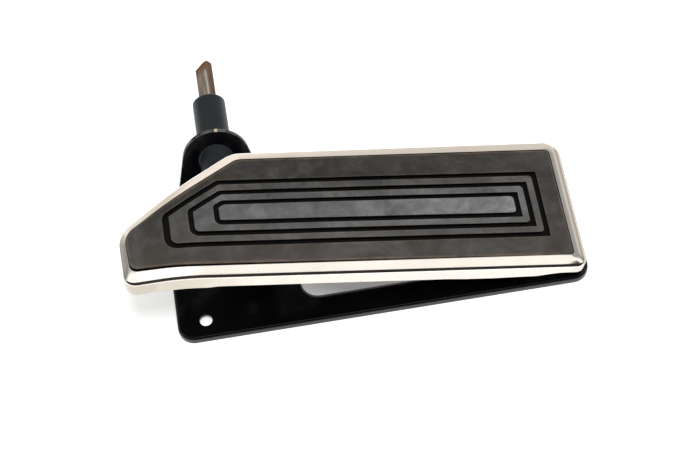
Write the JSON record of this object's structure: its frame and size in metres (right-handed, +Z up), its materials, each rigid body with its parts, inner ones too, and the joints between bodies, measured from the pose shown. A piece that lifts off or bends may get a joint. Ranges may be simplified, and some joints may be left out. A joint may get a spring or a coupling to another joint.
{
  "type": "treadle foot pedal",
  "caption": "Treadle foot peg: polished tray with grooved rubber tread, hinged at the heel on a pressed base, turning a cross shaft with a square drive.",
  "frame": {"origin": "bottom centre of the assembly's bounding box, on the base's underside", "axes": "+X from toe to heel, +Y from the near side to the square drive, +Z up"},
  "size_m": [0.34, 0.2304, 0.0926],
  "materials": {
    "black_paint": "satin black paint on pressed steel",
    "tube_paint": "satin dark grey paint",
    "polished_tray": "hand polished, fine scratches",
    "tread_rubber": "worn brownish black rubber",
    "worn_steel": "bare steel with light rust",
    "zinc_steel": "dull zinc plate",
    "bronze": "sintered bronze",
    "black_rubber": "moulded rubber"
  },
  "bodies": {
    "base": {"base_plate": "black_paint", "shaft_lug": "black_paint", "tube_cradle": "black_paint", "shaft_tube": "tube_paint", "bush_near": "bronze", "bush_far": "bronze", "dust_seal": "black_rubber", "return_spring": "zinc_steel", "stop_down": "black_rubber", "stop_up": "black_rubber", "lug_rivet_1": "black_paint", "lug_rivet_2": "black_paint", "lug_rivet_3": "black_paint", "lug_rivet_4": "black_paint", "cradle_rivet_1": "black_paint", "cradle_rivet_2": "black_paint", "hinge_bracket_near": "black_paint", "hinge_bracket_far": "black_paint", "hinge_rivet_1": "black_paint", "hinge_rivet_2": "black_paint", "hinge_rivet_3": "black_paint", "hinge_rivet_4": "black_paint", "hinge_pin": "zinc_steel", "hinge_washer_near": "zinc_steel", "hinge_washer_far": "zinc_steel", "hinge_clip": "zinc_steel"},
    "footboard": {"tread_tray": "polished_tray", "tread_rubber": "tread_rubber", "hinge_leaf": "zinc_steel", "hinge_sleeve": "bronze", "yoke": "zinc_steel", "tread_stud_1": "zinc_steel", "tread_nut_1": "zinc_steel", "tread_stud_2": "zinc_steel", "tread_nut_2": "zinc_steel", "tread_stud_3": "zinc_steel", "tread_nut_3": "zinc_steel", "tread_stud_4": "zinc_steel", "tread_nut_4": "zinc_steel"},
    "crank": {"drive_shaft": "worn_steel", "lever": "zinc_steel", "lever_pin": "zinc_steel", "shaft_circlip": "zinc_steel", "thrust_washer": "bronze", "roller_pin": "zinc_steel", "roller_clip": "zinc_steel"},
    "roller": {"roller": "bronze"}
  },
  "joints": [
    {"name": "board_hinge", "type": "hinge", "parent": "base", "child": "footboard", "pos_m": [0.14955, -0.05791, 0.014], "axis": [0, -1, 0], "range_deg": [0, 6], "stiffness_Nm_per_rad": 15, "springref_deg": -12.03},
    {"name": "shaft_turn", "type": "hinge", "parent": "base", "child": "crank", "pos_m": [-0.09255, -0.02086, 0.034], "axis": [0, 1, 0], "range_deg": [0, 31.3]},
    {"name": "roller_spin", "type": "hinge", "parent": "crank", "child": "roller", "pos_m": [-0.05316, -0.04661, 0.04095], "axis": [0, 1, 0], "continuous": true}
  ],
  "couplings": [
    {"joint": "shaft_turn", "follows": "board_hinge", "ratio": 5.204}
  ]
}
